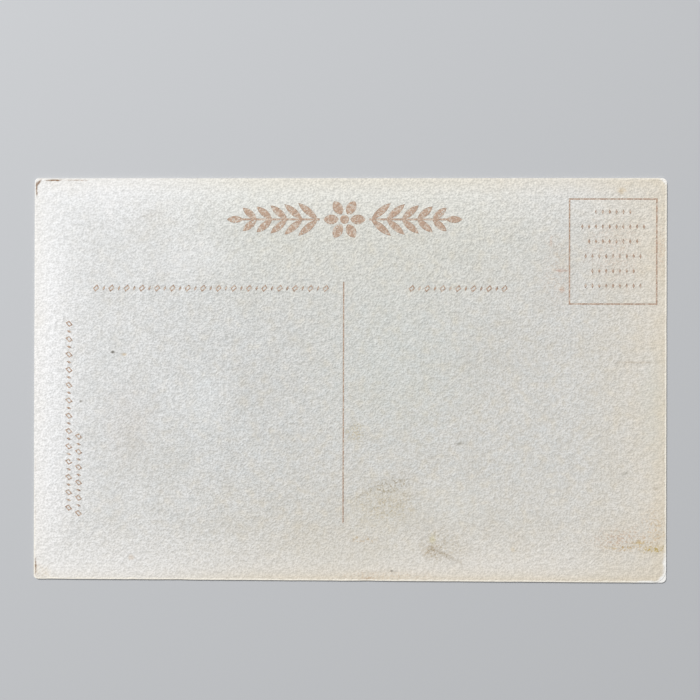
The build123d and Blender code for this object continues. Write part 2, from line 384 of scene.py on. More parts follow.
def address_sheet_mesh(sheet):
    """The felt-finished sheet: an even grid, rings out to the worn rim, a wall and an underside."""
    face = FeltFace(sheet)
    grid_x, grid_y = np.meshgrid(*face.lines())
    index = np.arange(grid_x.size).reshape(grid_x.shape)
    border = np.concatenate([index[0, :-1], index[:-1, -1], index[-1, :0:-1], index[:0:-1, 0]])
    inner = np.column_stack([grid_x.ravel()[border], grid_y.ravel()[border]])
    outer = worn_outline(sheet, face)
    rings = [inner + (outer - inner) * share for share in RING_SHARES]
    flat = np.vstack([np.column_stack([grid_x.ravel(), grid_y.ravel()])] + rings)
    marks = face.at(flat[:, 0], flat[:, 1])
    inset = inset_from_edge(sheet, flat[:, 0], flat[:, 1])
    rim = np.clip(1 - inset / sheet.rim_width, 0, 1)
    height = sheet_high.z + face.tooth_height * marks * (1 - rim) - sheet.rim_depth * rim**2
    points = np.column_stack([flat, height])
    count = len(border)
    edge = points[-count:]
    for share in WALL_SHARES:
        wall = edge.copy()
        wall[:, 2] += (sheet_low.z - edge[:, 2]) * share
        points = np.vstack([points, wall])
    loops = [border]
    for ring in range(len(RING_SHARES + WALL_SHARES)):
        loops.append(grid_x.size + count * ring + np.arange(count))
    cell_corners = (index[:-1, :-1], index[:-1, 1:], index[1:, 1:], index[1:, :-1])
    faces = [np.column_stack([corner.ravel() for corner in cell_corners])]
    for near, far in zip(loops[:-1], loops[1:]):
        faces.append(np.column_stack([near, far, np.roll(far, -1), np.roll(near, -1)]))
    quads = np.vstack(faces).tolist()
    mesh = bpy.data.meshes.new("address_sheet")
    mesh.from_pydata(points.tolist(), [], quads + [loops[-1][::-1].tolist()])
    mesh.shade_smooth()
    mesh.set_sharp_from_angle(angle=SHARP_EDGE)
    on_wall = np.zeros(len(points) - len(flat))
    give_values(mesh, "tooth", tooth_value(np.append(marks, on_wall)))
    give_values(mesh, "inset", np.append(inset, on_wall))
    lay_out_map(mesh, len(quads))
    return mesh


def lay_out_map(mesh, face_count):
    """A flat map of the card's face, with the underside small above it, for baking at full detail."""
    size = sheet_high - sheet_low
    share = size.y / size.x
    corner = np.zeros(len(mesh.loops), int)
    mesh.loops.foreach_get("vertex_index", corner)
    points = np.zeros(len(mesh.vertices) * 3)
    mesh.vertices.foreach_get("co", points)
    places = (points.reshape(-1, 3)[corner, :2] - np.array(sheet_low.xy)) / size.x
    under = np.zeros(len(corner), bool)
    under[mesh.polygons[face_count].loop_start :] = True
    room = (1 - share) * UNDERSIDE_SHARE
    places[under] = places[under] * room + (MAP_GAPS[0], share + MAP_GAPS[1])
    mesh.uv_layers.new(name="OFBake").data.foreach_set("uv", places.astype(np.float32).ravel())


LEVEL = 0.9  # a face whose normal points up this far counts as level
SAME_POINT = 1e-7  # metres within which points are one
ON_LINE = 1e-8  # metres within which a point is on a line of the grid
SHARPEST = 0.25  # least share that keeps a sharp corner from running far out


def squeeze_out(made, spread):
    """Moves a print's outline outwards, as ink runs when type presses it on paper."""
    ways_out = {}
    for edge in made.edges:
        if edge.is_boundary:
            start, end = edge.verts
            way = (end.co - start.co).normalized().cross(Vector((0, 0, 1)))
            inside = edge.link_faces[0].calc_center_median()
            if way.dot(inside - start.co) > 0:
                way.negate()
            for point in edge.verts:
                ways_out.setdefault(point, []).append(way)
    for point, ways in ways_out.items():
        mean = sum(ways, Vector()) / len(ways)
        point.co += mean * spread / max(mean.length_squared, SHARPEST)


def spot(point):
    """A point's place on the card, rounded so that places can be compared."""
    return tuple(round(c, 8) for c in point.co.xy)


def draped_print_mesh(name, face, ink):
    """A print's outline from its solid, cut along the paper's grid and laid on its tooth as a film of ink."""
    made = bmesh.new()
    made.from_mesh(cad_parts[name].data)
    low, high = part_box(name)
    upright = [part for part in made.faces if part.normal.z < LEVEL]
    bmesh.ops.delete(made, geom=upright, context="FACES")
    bmesh.ops.remove_doubles(made, verts=made.verts, dist=SAME_POINT)
    squeeze_out(made, ink.spread)
    for axis, lines in enumerate(face.lines()):
        normal = Vector((axis == 0, axis == 1, 0))
        for line in lines[(lines > low[axis] - ink.spread) & (lines < high[axis] + ink.spread)]:
            everything = made.verts[:] + made.edges[:] + made.faces[:]
            cut = {"plane_co": normal * line, "plane_no": normal}
            bmesh.ops.bisect_plane(made, geom=everything, dist=ON_LINE, **cut)
    rim_spots = {spot(point) for edge in made.edges if edge.is_boundary for point in edge.verts}
    skin = made.faces[:]
    grown = bmesh.ops.extrude_face_region(made, geom=skin, use_keep_orig=True)["geom"]
    top = {point for point in grown if isinstance(point, bmesh.types.BMVert)}
    depth = high.z - low.z
    spots = np.array([point.co[:] for point in made.verts])
    marks = face.at(spots[:, 0], spots[:, 1])
    made.verts.index_update()
    for point in made.verts:
        ground = sheet_high.z + face.tooth_height * marks[point.index] + ink.lift
        point.co.z = ground if point in top else ground - depth
    bmesh.ops.recalc_face_normals(made, faces=made.faces)
    rim = [spot(point) in rim_spots for point in made.verts]
    mesh = bpy.data.meshes.new(name)
    made.to_mesh(mesh)
    made.free()
    mesh.shade_smooth()
    mesh.set_sharp_from_angle(angle=SHARP_EDGE)
    give_values(mesh, "tooth", tooth_value(marks))
    give_values(mesh, "rim", np.array(rim, float))
    return mesh


def woolly_grain(tree, place, sheet):
    """Fibres finer than the mesh: a close woolly grain, drawn coarser than real so that it shows."""
    grain = {"Vector": place, "Scale": per(sheet.wool), "Detail": 1.0, "Roughness": 0.5, "Distortion": 0.3}
    return node(tree, "ShaderNodeTexNoise", grain)


# Noise patterns of the paper: size, detail and roughness
PATTERNS = {
    "clouds": (5 * MM, 6.0, 0.72),
    "tufts": (2 * MM, 1.5, 0.5),
    "blotches": (10 * MM, 5.0, 0.65),
    "rag": (0.9 * MM, 4.0, 0.65),
    "specks": (0.48 * MM, 2.0, 0.6),
    "fray": (1.1 * MM, 4.0, 0.7),
}
# Layers of the paper: colour, then the shares that are multiplied to say how much of it shows. A share has
# what it follows, where it starts and ends, and its values there.
LAYERS = {
    "greyer clouds": ("face_shade", ("clouds", 0.3, 0.7, 0.0, 1.0), ("along", -40 * MM, 0.0, 1.0, 0.7)),
    "greyer right half": ("face_shade", ("along", -40 * MM, 0.0, 0.0, 0.15)),
    "yellower tufts": ("warm_fibre", ("tufts", 0.5, 0.75, 0.0, 0.26), ("lower right", -1.6, 0.8, 0.55, 1.0)),
    "bluer tufts": ("cool_fibre", ("tufts", 0.5, 0.25, 0.0, 0.26), ("lower right", -1.6, 0.8, 0.55, 1.0)),
    # Painted light: the face lighter by its edges, most at the left end
    "painted light by the edges": (
        "face_painted_light",
        ("inset", 0.0, 15 * MM, 1.0, 0.0),
        ("along", -68 * MM, -25 * MM, 0.95, 0.6),
        ("along", 38 * MM, 66 * MM, 1.0, 0.54),
        ("lower right", -1.9, -1.1, 0.66, 1.0),
    ),
    "greyer lower left": (
        "face_shade",
        ("up", -29 * MM, -40 * MM, 0.0, 0.22),
        ("along", -66 * MM, -50 * MM, 0.4, 1.0),
        ("along", -4 * MM, 18 * MM, 1.0, 0.0),
    ),
    "straw by the top": (
        "straw",
        ("up", 4 * MM, 40 * MM, 0.0, 0.2),
        ("along", -55 * MM, -15 * MM, 0.0, 1.0),
        ("along", 20 * MM, 60 * MM, 1.0, 0.1),
    ),
    "rubbed upper right corner": (
        "worn_white_and_highlight",
        ("up", 14 * MM, 32 * MM, 0.0, 0.22),
        ("along", 46 * MM, 58 * MM, 0.0, 1.0),
    ),
    # Painted light: the face lighter at its left and right ends
    "painted light at the left end": ("face_painted_light", ("along", -14 * MM, -56 * MM, 0.0, 0.28)),
    "painted light at the right end": (
        "face_painted_light",
        ("along", 20 * MM, 62 * MM, 0.0, 0.16),
        ("up", -30 * MM, -16 * MM, 1.55, 0.72),
    ),
    "toned right half": ("toned", ("along", -34 * MM, 6 * MM, 0.0, 0.08)),
    "toned right end": ("toned", ("along", 46 * MM, 72 * MM, 0.0, 0.36), ("blotches", 0.3, 0.7, 0.75, 1.25)),
    "toned from below": (
        "toned",
        ("up", -14 * MM, -46 * MM, 0.0, 0.22),
        ("along", -50 * MM, -8 * MM, 0.45, 1.0),
        ("along", 40 * MM, 66 * MM, 1.0, 0.6),
    ),
    "toned border": ("toned", ("inset", 0.0, 4.4 * MM, 0.26, 0.0), ("along", -50 * MM, -8 * MM, 0.4, 1.0)),
    "toned bottom edge": (
        "toned",
        ("up", -42.6 * MM, -44.4 * MM, 0.0, 0.24),
        ("along", -45 * MM, 0.0, 0.3, 1.0),
    ),
    "toned blotches": ("toned", ("blotches", 0.5, 0.75, 0.0, 0.1)),
    # Dirt and painted shade in the hollows of the relief, weaker towards the lower right
    "dirt and painted shade in the hollows": (
        "hollow_dirt_and_shade",
        ("relief", 0.85, 0.4, 0.0, 0.44),
        ("crispness", 0.0, 1.0, 0.0, 1.0),
        ("lower right", -0.6, 0.8, 1.0, 0.52),
    ),
    "browner dirt and painted shade there": (
        "hollow_dirt_and_shade_brown",
        ("relief", 0.85, 0.4, 0.0, 0.42),
        ("crispness", 0.0, 1.0, 0.0, 1.0),
        ("lower right", -0.6, 0.8, 0.0, 0.48),
    ),
}
# Shares that say how crisp the tooth is: its bump and the painted shade in its hollows are weaker by two
# corners, the left end and the edges
CRISPNESS = (
    ("lower right", -1.7, -0.9, 0.85, 1.0),
    ("lower right", 0.0, 1.0, 1.0, 0.84),
    ("along", -62 * MM, -22 * MM, 0.84, 1.0),
    ("inset", 0.0, 10 * MM, 0.8, 1.0),
)
# The rim rubbed through to white fibres, with a painted highlight that makes it brightest on the right and
# the bottom, whose slope turns away from the key
RIM_LAYERS = {
    "worn rim with a painted highlight": ("worn_white_and_highlight", ("wear", 1.15, 0.75, 0.0, 1.0), ("lower right", -0.7, 0.4, 0.12, 0.9)),
}
# Stains of the face: middle, half length and half height in mm, turn in degrees, strength, how far it is
# broken into specks, colour
STAINS = {
    "thumb smudge": ((18.3, -37.9), 3.8, 2.7, -20, 0.6, 0.7, "A8906A"),
    "smudge's line": ((21.0, -38.5), 6.8, 0.95, -26, 0.52, 0.5, "8C7C64"),
    "smudge's yellow spot": ((18.6, -35.1), 1.2, 1.7, 0, 0.5, 0.3, "CFC58E"),
    "specks round the smudge": ((21.5, -36.2), 8.5, 5.5, -20, 0.42, 0.85, "B3A68C"),
    "speckled patch": ((9.4, -23.3), 7.0, 2.4, 12, 0.68, 0.9, "8F8164"),
    "specks under that patch": ((8.4, -27.7), 9.5, 4.8, 0, 0.34, 0.95, "A3906A"),
    "patch's pale spread": ((7.4, -28.6), 12.5, 9.5, 0, 0.22, 0.6, "C9BB92"),
    "arc left of the patch": ((3.2, -25.3), 3.6, 0.8, 33, 0.34, 0.5, "A2957A"),
    "arc right of the patch": ((12.2, -25.2), 4.2, 0.8, -38, 0.3, 0.5, "A2957A"),
    "ochre blot by the divider": ((1.5, -11.8), 3.4, 3.9, 0, 0.54, 0.8, "B9A678"),
    "clean drift under the heading": ((-35.5, 27.5), 17.0, 11.0, 0, 0.2, 0.2, "FBFBFE"),
    "clean drift left of the middle": ((-32.0, -4.4), 8.0, 11.0, 0, 0.17, 0.2, "F8FCFE"),
    "warm drift up the left": ((-49.2, -11.0), 9.5, 17.0, 0, 0.15, 0.2, "BCAD9F"),
    "green drift in the middle": ((10.0, 4.0), 30.0, 28.0, 0, 0.1, 0.0, "C0D4CC"),
    "grey drift up the right edge": ((67.0, -5.6), 5.0, 21.0, 0, 0.13, 0.2, "AEBFBC"),
    "grey drift along the bottom": ((4.0, -38.6), 27.0, 5.0, 0, 0.13, 0.4, "B4B09A"),
    "clean drift right of the patch": ((23.4, -27.0), 12.0, 8.0, 0, 0.14, 0.2, "F4F6F2"),
    "grey drift low on the left": ((-43.0, -18.0), 18.0, 10.0, 0, 0.17, 0.3, "B4AF9F"),
    "grey drift left of the divider": ((-19.4, -2.2), 9.0, 8.0, 0, 0.1, 0.3, "B4B0A6"),
    "grey drift right of the middle": ((32.5, 5.0), 22.0, 11.0, 20, 0.12, 0.3, "B4B0A4"),
    "grey drift by the divider's foot": ((-9.0, -34.6), 10.0, 6.0, 0, 0.13, 0.4, "B9AC8C"),
    "ochre dots left of the smudge": ((3.2, -35.4), 4.6, 1.2, 0, 0.52, 0.9, "BFA274"),
    "rusty specks": ((60.2, -35.0), 10.0, 3.8, 4, 0.36, 1.0, "B98A5E"),
    "ochre specks up the right edge": ((67.0, -32.6), 4.6, 6.8, 0, 0.34, 1.0, "BD9A60"),
    "ochre spots by the right edge": ((67.4, -37.1), 4.8, 1.3, 6, 0.85, 0.8, "B89E48"),
    "ochre spots left of those": ((63.8, -35.8), 2.8, 1.2, 0, 0.6, 0.8, "C4AA66"),
    "ochre trail": ((60.0, -36.9), 6.0, 1.0, 0, 0.62, 0.85, "C0A262"),
    "rusty wash": ((62.0, -34.6), 13.0, 5.0, -5, 0.07, 0.6, "CFB08C"),
    "ochre wash by the edge": ((67.6, -30.5), 4.5, 9.0, 0, 0.07, 0.6, "D6B889"),
    "rust right of the stamp box": ((68.4, 28.6), 2.2, 8.5, 0, 0.24, 0.85, "C79672"),
    "rust inside the stamp box": ((58.4, 28.6), 11.0, 13.0, 0, 0.19, 0.9, "C79C80"),
    "rust left of the stamp box": ((45.8, 23.8), 6.0, 13.0, 0, 0.23, 0.8, "C9AA8C"),
    "dash left of the stamp box": ((46.5, 24.1), 2.6, 0.55, 0, 0.55, 0.3, "B98A72"),
    "dot under that dash": ((46.9, 19.9), 1.1, 1.0, 0, 0.55, 0.3, "C0957B"),
    "scratch over that dash": ((44.5, 30.4), 0.55, 2.2, 0, 0.45, 0.3, "C9AB97"),
    "ochre spot over the stamp box": ((59.9, 41.6), 1.5, 1.3, 10, 0.45, 0.3, "CBAE7C"),
    "faint smear": ((-44.0, 36.2), 5.0, 1.9, 15, 0.26, 0.5, "B4ACA0"),
    "dash right of the middle": ((24.6, -14.0), 1.8, 0.7, 5, 0.5, 0.3, "8B8778"),
    "dash towards the right edge": ((60.9, -20.5), 1.5, 0.6, 5, 0.45, 0.3, "8B8778"),
    "dash by the right edge": ((67.5, -23.8), 1.4, 0.6, -15, 0.4, 0.3, "9A8E78"),
    "scratch under the stamp box": ((63.0, 3.9), 6.5, 0.42, 0, 0.5, 0.4, "A3947F"),
    "ochre dot right of the smudge": ((36.3, -37.4), 0.8, 1.0, 0, 0.4, 0.2, "C4AE7E"),
    "ochre dot low on the left": ((-48.1, -39.6), 1.1, 0.9, 0, 0.4, 0.2, "C4A888"),
    "fly speck on the left": ((-52.3, 5.9), 0.75, 0.55, 0, 0.85, 0.0, "5F594F"),
    "ochre dot beside it": ((-49.9, 5.4), 0.9, 0.5, 0, 0.6, 0.0, "CBB48F"),
    "fly speck low on the left": ((-59.4, -5.0), 0.6, 0.5, 0, 0.7, 0.0, "7A7267"),
    "fly speck at the bottom": ((9.6, -42.2), 0.5, 0.45, 0, 0.7, 0.0, "6E675C"),
    "brown nick on the bottom edge": ((4.3, -44.0), 3.0, 0.7, 0, 0.5, 0.4, "A58668"),
    "ochre specks along the bottom": ((8.0, -43.2), 17.0, 1.6, 0, 0.24, 0.9, "C9A678"),
    "toned lower left corner": ((-68.6, -43.0), 4.4, 3.0, 0, 0.3, 0.5, "E3CFAC"),
    "brown arc in the upper left corner": ((-68.95, 43.55), 1.5, 0.5, 45, 1.1, 0.25, "86684E"),
}
# Stretches of the brown line beside the rim, given as stains without a colour
RIM_LINES = {
    "up the left edge to the upper corner": ((-69.5, 42.2), 1.5, 2.4, 0, 1.4, 0.3),
    "along the top from that corner": ((-65.4, 44.2), 3.0, 1.3, 0, 1.5, 0.25),
    "fading along the top": ((-60.5, 44.2), 4.5, 1.2, 0, 0.7, 0.5),
    "left edge, under the middle": ((-69.5, -19.2), 1.2, 2.6, 0, 0.3, 0.5),
    "left edge, low": ((-69.5, -30.0), 1.2, 3.6, 0, 0.3, 0.5),
    "lower left corner": ((-69.3, -41.8), 1.5, 3.4, 0, 1.2, 0.35),
}
# Places where the face has split from the white core, given in the same way as those stretches
SPLITS = {
    "lower right corner": ((69.0, -43.6), 4.4, 1.0, 45, 1.0, 0.0),
    "up from that corner": ((69.8, -40.8), 1.1, 4.8, 0, 1.0, 0.0),
    "along the bottom from that corner": ((66.0, -44.4), 4.4, 0.7, 0, 1.0, 0.0),
    "upper right corner": ((69.2, 43.8), 2.4, 0.6, -45, 0.8, 0.2),
}
# A stain's blot: how much its ragged outline wanders, and where it fades out and is full
BLOT_RAG = 1.1
BLOT_FADED = 1.55
BLOT_FULL = 0.55
# Values of the pattern of specks from which a broken stain shows, and shows fully
SPECK_FADED = 0.49
SPECK_FULL = 0.6
# The relief's hollows hold both dirt and painted shade
FELT_SHARE = 0.25  # of the felt's marks in the relief that holds dirt
# The brown line beside the rim: how far in, how wide and how far it wanders
RIM_LINE_INSET = 0.42 * MM
RIM_LINE_HALF = 0.28 * MM
RIM_LINE_WANDER = 0.4 * MM
RIM_WEAR = (0.2 * MM, 0.5 * MM)  # least and greatest width of the rubbed rim


def stain_amount(tree, place, guides, middle, half_length, half_height, turn, strength, broken):
    """How strongly a stain shows: a soft blot with a ragged outline, broken into specks."""
    blot = node(
        tree,
        "ShaderNodeMapping",
        {
            "Vector": place,
            "Location": (middle[0] * MM, middle[1] * MM, 0),
            "Rotation": (0, 0, math.radians(turn)),
            "Scale": (half_length * MM, half_height * MM, 1),
        },
        vector_type="TEXTURE",
    )
    away = node(tree, "ShaderNodeVectorMath", {0: blot}, out="Value", operation="LENGTH")
    rag = {0: guides["rag"], 1: BLOT_RAG, 2: away}
    ragged = node(tree, "ShaderNodeMath", rag, operation="MULTIPLY_ADD")
    soft = node(
        tree,
        "ShaderNodeMapRange",
        {"Value": ragged, "From Min": BLOT_FADED, "From Max": BLOT_FULL, "To Max": strength},
        interpolation_type="SMOOTHERSTEP",
    )
    shown = node(
        tree,
        "ShaderNodeMapRange",
        {
            "Value": guides["specks"],
            "From Min": SPECK_FADED,
            "From Max": SPECK_FULL,
            "To Min": 1 - broken,
        },
        interpolation_type="SMOOTHSTEP",
    )
    return node(tree, "ShaderNodeMath", {0: soft, 1: shown}, operation="MULTIPLY")


def how_much(tree, guides, shares):
    """Shares multiplied together."""
    amount = 1.0
    for guide, start, end, first, last in shares:
        share = node(
            tree,
            "ShaderNodeMapRange",
            {"Value": guides[guide], "From Min": start, "From Max": end, "To Min": first, "To Max": last},
            interpolation_type="SMOOTHSTEP",
        )
        amount = node(tree, "ShaderNodeMath", {0: share, 1: amount}, operation="MULTIPLY")
    return amount


def layered(tree, guides, look, paper, layers):
    """The paper's colour with each layer laid over the one before."""
    for colour_name, *shares in layers.values():
        mixed = {FACTOR: how_much(tree, guides, shares), UNDER: paper, OVER: getattr(look, colour_name)}
        paper = node(tree, "ShaderNodeMix", mixed, out=MIXED, data_type="RGBA")
    return paper


def marked(tree, place, guides, look, paper):
    """The paper's colour with its stains and the brown line beside its rim."""
    marks = []
    for *stain, code in STAINS.values():
        marks.append((stain_amount(tree, place, guides, *stain), linear(code)))
    for stretch in RIM_LINES.values():
        amount = stain_amount(tree, place, guides, *stretch)
        on_line = node(tree, "ShaderNodeMath", {0: amount, 1: guides["rim line"]}, operation="MULTIPLY")
        marks.append((on_line, look.rim_dirt))
    for amount, mark_colour in marks:
        mixed = {FACTOR: amount, UNDER: paper, OVER: mark_colour}
        paper = node(tree, "ShaderNodeMix", mixed, out=MIXED, data_type="RGBA")
    return paper


def paper_guides(tree, place, wool):
    """The values that the paper's layers and stains follow, by name."""
    guides = {
        "tooth": node(tree, "ShaderNodeAttribute", out="Fac", attribute_name="tooth"),
        "inset": node(tree, "ShaderNodeAttribute", out="Fac", attribute_name="inset"),
        "along": node(tree, "ShaderNodeSeparateXYZ", {0: place}, out="X"),
        "up": node(tree, "ShaderNodeSeparateXYZ", {0: place}, out="Y"),
    }
    for name, (size, detail, roughness) in PATTERNS.items():
        pattern = {"Vector": place, "Scale": per(size), "Detail": detail, "Roughness": roughness}
        guides[name] = node(tree, "ShaderNodeTexNoise", pattern)
    # Ridges of the felt and of its wool together
    relief = {0: guides["tooth"], 1: FELT_SHARE, 2: wool}
    guides["relief"] = node(tree, "ShaderNodeMath", relief, operation="MULTIPLY_ADD")
    # How far across the rubbed rim a place lies, its width frayed
    least, greatest = RIM_WEAR
    width = {"Value": guides["fray"], "From Min": 0.3, "From Max": 0.7, "To Min": least, "To Max": greatest}
    rubbed_width = node(tree, "ShaderNodeMapRange", width, interpolation_type="SMOOTHSTEP")
    guides["wear"] = node(tree, "ShaderNodeMath", {0: guides["inset"], 1: rubbed_width}, operation="DIVIDE")
    # From -2 at the upper left corner to 2 at the lower right
    half = (sheet_high - sheet_low).xy / 2
    sideways = node(tree, "ShaderNodeMath", {0: guides["along"], 1: half.x}, operation="DIVIDE")
    downwards = {0: guides["up"], 1: -1 / half.y, 2: sideways}
    guides["lower right"] = node(tree, "ShaderNodeMath", downwards, operation="MULTIPLY_ADD")
    guides["crispness"] = how_much(tree, guides, CRISPNESS)
    # 1 on the line beside the rim, which wanders a little, and 0 off it
    wandering = {0: guides["rag"], 1: RIM_LINE_WANDER, 2: guides["inset"]}
    wandered = node(tree, "ShaderNodeMath", wandering, operation="MULTIPLY_ADD")
    on_middle = RIM_LINE_INSET + RIM_LINE_WANDER / 2
    off_line = node(tree, "ShaderNodeMath", {0: wandered, 1: on_middle}, operation="SUBTRACT")
    off_line = node(tree, "ShaderNodeMath", {0: off_line}, operation="ABSOLUTE")
    fading = {"Value": off_line, "From Min": 0.0, "From Max": RIM_LINE_HALF, "To Min": 1.0, "To Max": 0.0}
    guides["rim line"] = node(tree, "ShaderNodeMapRange", fading, interpolation_type="SMOOTHSTEP")
    return guides


def felt_paper(look, sheet):
    """Wove paper dried between felts: chalky and toothy, toned by age, rubbed white along the rim; with
    painted shade in its hollows, painted light by its edges and ends, and a painted highlight on its rim.
    """
    material, tree, place = new_material("Felt-finished wove paper")
    wool = woolly_grain(tree, place, sheet)
    guides = paper_guides(tree, place, wool)
    paper = layered(tree, guides, look, look.face, LAYERS)
    paper = layered(tree, guides, look, marked(tree, place, guides, look, paper), RIM_LAYERS)
    for split in SPLITS.values():
        mixed = {FACTOR: stain_amount(tree, place, guides, *split), UNDER: paper, OVER: look.pulp}
        paper = node(tree, "ShaderNodeMix", mixed, out=MIXED, data_type="RGBA")
    tooth = {"Height": wool, "Strength": guides["crispness"], "Distance": sheet.wool_height}
    chalky = {"Value": guides["tooth"], "From Min": 0.1, "From Max": 0.9, "To Min": 0.95, "To Max": 0.82}
    finish = {
        "Base Color": paper,
        "Roughness": node(tree, "ShaderNodeMapRange", chalky),
        "IOR": 1.5,
        "Specular IOR Level": 0.3,
        "Normal": node(tree, "ShaderNodeBump", tooth),
    }
    return finished(material, finish)


def brown_ink(look, sheet):
    """Thin oil ink on toothy paper: full on the ridges, broken in the hollows, dark round each shape."""
    material, tree, place = new_material("Brown letterpress ink")
    tooth = node(tree, "ShaderNodeAttribute", out="Fac", attribute_name="tooth")
    rim = node(tree, "ShaderNodeAttribute", out="Fac", attribute_name="rim")
    wool = woolly_grain(tree, place, sheet)
    took = node(tree, "ShaderNodeMath", {0: tooth, 1: 0.3, 2: wool}, operation="MULTIPLY_ADD")
    squeeze = {"Value": rim, "From Min": 0.35, "From Max": 1.0, "To Max": 0.66}
    squeezed = {FACTOR: node(tree, "ShaderNodeMapRange", squeeze), UNDER: look.solid, OVER: look.rim}
    ink = node(tree, "ShaderNodeMix", squeezed, out=MIXED, data_type="RGBA")
    miss = {"Value": took, "From Min": 0.72, "From Max": 0.46, "To Max": 0.9}
    missed = node(tree, "ShaderNodeMapRange", miss, interpolation_type="SMOOTHSTEP")
    broken = {FACTOR: missed, UNDER: ink, OVER: look.missed}
    ink = node(tree, "ShaderNodeMix", broken, out=MIXED, data_type="RGBA")
    sheen = {"Value": took, "From Min": 0.5, "From Max": 1.0, "To Min": 0.9, "To Max": 0.7}
    finish = {
        "Base Color": ink,
        "Roughness": node(tree, "ShaderNodeMapRange", sheen),
        "IOR": 1.5,
        "Specular IOR Level": 0.35,
        "Normal": node(tree, "ShaderNodeBump", {"Height": wool, "Distance": sheet.wool_height}),
    }
    return finished(material, finish)


def wood_pulp(look):
    """Unsized wood-pulp sheet: soft, white and fibrous, with a few flecks of bark."""
    material, tree, place = new_material("Wood-pulp middle sheet")
    drawn = node(tree, "ShaderNodeMapping", {"Vector": place, "Scale": (0.35, 0.35, 3.0)})
    fibre = {"Vector": drawn, "Scale": per(0.25 * MM), "Detail": 4.0, "Roughness": 0.7}
    fibres = node(tree, "ShaderNodeTexNoise", fibre)
    fleck = {"Value": fibres, "From Min": 0.58, "From Max": 0.72, "To Max": 0.6}
    flecked = {FACTOR: node(tree, "ShaderNodeMapRange", fleck), UNDER: look.pulp, OVER: look.pulp_fleck}
    finish = {
        "Base Color": node(tree, "ShaderNodeMix", flecked, out=MIXED, data_type="RGBA"),
        "Roughness": 0.95,
        "IOR": 1.5,
        "Normal": node(tree, "ShaderNodeBump", {"Height": fibres, "Strength": 0.8, "Distance": 0.03 * MM}),
    }
    return finished(material, finish)


def starch_paste(look):
    """Dried starch paste: a thin amber film, glossier than paper, soaked unevenly into its neighbours."""
    material, tree, place = new_material("Dried starch paste")
    soak = node(tree, "ShaderNodeTexNoise", {"Vector": place, "Scale": per(1.5 * MM), "Detail": 3.0})
    soaked = {FACTOR: soak, UNDER: look.paste, OVER: look.pulp}
    finish = {
        "Base Color": node(tree, "ShaderNodeMix", soaked, out=MIXED, data_type="RGBA"),
        "Roughness": node(tree, "ShaderNodeMapRange", {"Value": soak, "To Min": 0.45, "To Max": 0.75}),
        "IOR": 1.53,
    }
    return finished(material, finish)


def coated_paper(look):
    """Clay-coated paper, calendered smooth: a soft gloss, browned in clouds."""
    material, tree, place = new_material("Clay-coated paper")
    cloud = {"Vector": place, "Scale": per(12 * MM), "Detail": 5.0, "Roughness": 0.6}
    clouds = node(tree, "ShaderNodeTexNoise", cloud)
    brown = {"Value": clouds, "From Min": 0.35, "From Max": 0.75, "To Min": 0.1, "To Max": 0.8}
    browned = {FACTOR: node(tree, "ShaderNodeMapRange", brown), UNDER: look.coated, OVER: look.coated_toned}
    clay = node(tree, "ShaderNodeTexNoise", {"Vector": place, "Scale": per(0.5 * MM), "Detail": 3.0})
    finish = {
        "Base Color": node(tree, "ShaderNodeMix", browned, out=MIXED, data_type="RGBA"),
        "Roughness": node(tree, "ShaderNodeMapRange", {"Value": clay, "To Min": 0.38, "To Max": 0.55}),
        "IOR": 1.55,
        "Normal": node(tree, "ShaderNodeBump", {"Height": clay, "Strength": 0.5, "Distance": 0.004 * MM}),
    }
    return finished(material, finish)


# Tints of the picture: colour, the colour it pales to below, the drawing's stretch along and up the card,
# the size of its marks in mm, and how much it shows
TINTS = {
    "picture_rule": ("rule", None, (1.0, 1.0), 1.0, 0.3),
    "sky_tint": ("sky", "sky_low", (0.25, 1.0), 9.0, 0.35),
    "sun_tint": ("sun", None, (1.0, 1.0), 3.0, 0.2),
    "far_hills_tint": ("far_hills", None, (0.6, 1.0), 5.0, 0.45),
    "near_hills_tint": ("near_hills", None, (1.0, 0.8), 1.8, 0.6),
    "lake_tint": ("lake", None, (0.12, 1.0), 1.2, 0.55),
    "shore_tint": ("shore", None, (1.0, 0.35), 1.0, 0.6),
    "tree_tint": ("trees", None, (1.0, 0.7), 1.1, 0.7),
}


DEEP_SHARE = 0.55  # of a tint, in the deepest of its marks


